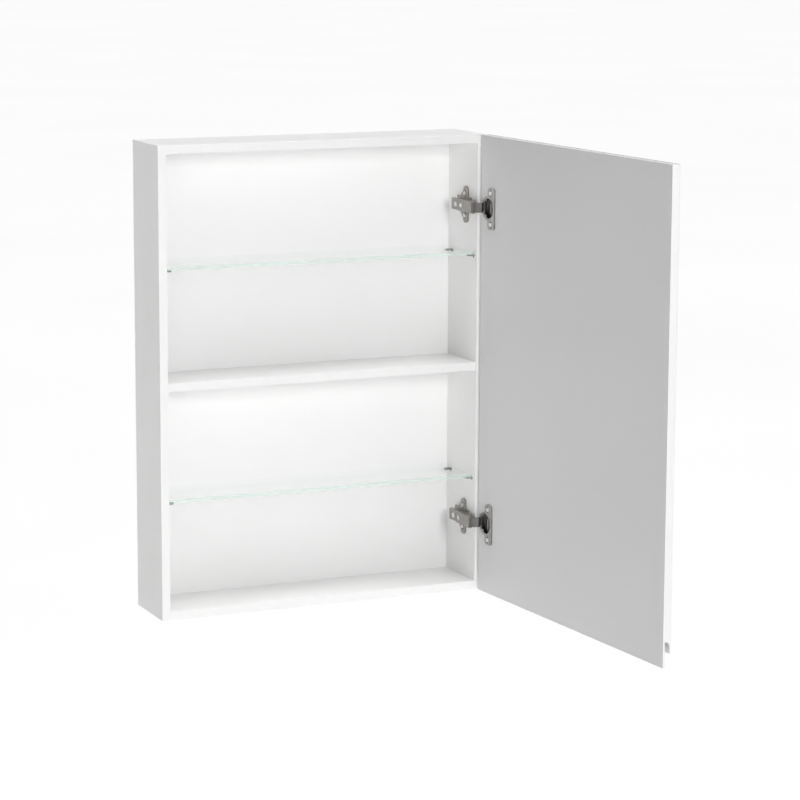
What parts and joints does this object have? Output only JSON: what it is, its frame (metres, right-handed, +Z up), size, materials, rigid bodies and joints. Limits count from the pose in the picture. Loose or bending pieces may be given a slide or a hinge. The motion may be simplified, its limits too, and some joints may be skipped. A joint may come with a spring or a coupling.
{
  "type": "bathroom medicine cabinet",
  "caption": "Shallow white wall cabinet with a mirrored door on concealed cup hinges, a fixed middle shelf and glass shelves on small supports.",
  "frame": {"origin": "on the wall plane, midway across the cabinet's width, at its underside", "axes": "+X to the right seen from the front, +Y into the wall, +Z up; the front faces -Y"},
  "size_m": [0.5346, 0.6068, 0.67],
  "materials": {
    "white_board": "satin white coated board",
    "back_board": "satin white coated thin board",
    "shelf_glass": "clear, polished edges",
    "mirror": "silvered glass with polished edge",
    "hinge_steel": "nickel plated, satin",
    "screw_steel": "zinc plated",
    "pin_steel": "satin",
    "dowel_wood": "bare"
  },
  "bodies": {
    "cabinet": {"left_side_panel": "white_board", "right_side_panel": "white_board", "top_panel": "white_board", "bottom_panel": "white_board", "middle_shelf": "white_board", "back_panel": "back_board", "carcass_dowels": "dowel_wood", "left_hanger_plate": "hinge_steel", "right_hanger_plate": "hinge_steel", "hanger_screws": "screw_steel", "upper_glass_shelf": "shelf_glass", "upper_shelf_supports": "pin_steel", "upper_mounting_plate": "hinge_steel", "upper_plate_screws": "screw_steel", "upper_hinge_arm": "hinge_steel", "upper_arm_screw": "screw_steel", "upper_side_adjusting_screw": "screw_steel", "upper_arm_rivets": "hinge_steel", "lower_glass_shelf": "shelf_glass", "lower_shelf_supports": "pin_steel", "lower_mounting_plate": "hinge_steel", "lower_plate_screws": "screw_steel", "lower_hinge_arm": "hinge_steel", "lower_arm_screw": "screw_steel", "lower_side_adjusting_screw": "screw_steel", "lower_arm_rivets": "hinge_steel"},
    "outer_links": {"upper_outer_link": "hinge_steel", "lower_outer_link": "hinge_steel"},
    "inner_links": {"upper_inner_link": "hinge_steel", "lower_inner_link": "hinge_steel"},
    "door": {"door_panel": "white_board", "mirror": "mirror", "upper_hinge_cup": "hinge_steel", "upper_cup_pin": "hinge_steel", "upper_cup_spring": "hinge_steel", "upper_cup_screws": "screw_steel", "lower_hinge_cup": "hinge_steel", "lower_cup_pin": "hinge_steel", "lower_cup_spring": "hinge_steel", "lower_cup_screws": "screw_steel"}
  },
  "joints": [
    {"name": "outer_link_pivot", "type": "hinge", "parent": "cabinet", "child": "outer_links", "pos_m": [0.227, -0.1093, 0.3325], "axis": [0, 0, 1], "range_deg": [-5.13, 29]},
    {"name": "door_swing", "type": "hinge", "parent": "outer_links", "child": "door", "pos_m": [0.24299, -0.11427, 0.3325], "axis": [0, 0, 1], "range_deg": [-122.48, 21.61]},
    {"name": "inner_link_pivot", "type": "hinge", "parent": "cabinet", "child": "inner_links", "pos_m": [0.2295, -0.1035, 0.3325], "axis": [0, 0, 1], "range_deg": [-5.13, 29]}
  ],
  "couplings": [
    {"joint": "outer_link_pivot", "follows": "door_swing", "ratio": -0.23664},
    {"joint": "inner_link_pivot", "follows": "door_swing", "ratio": -0.23664}
  ]
}
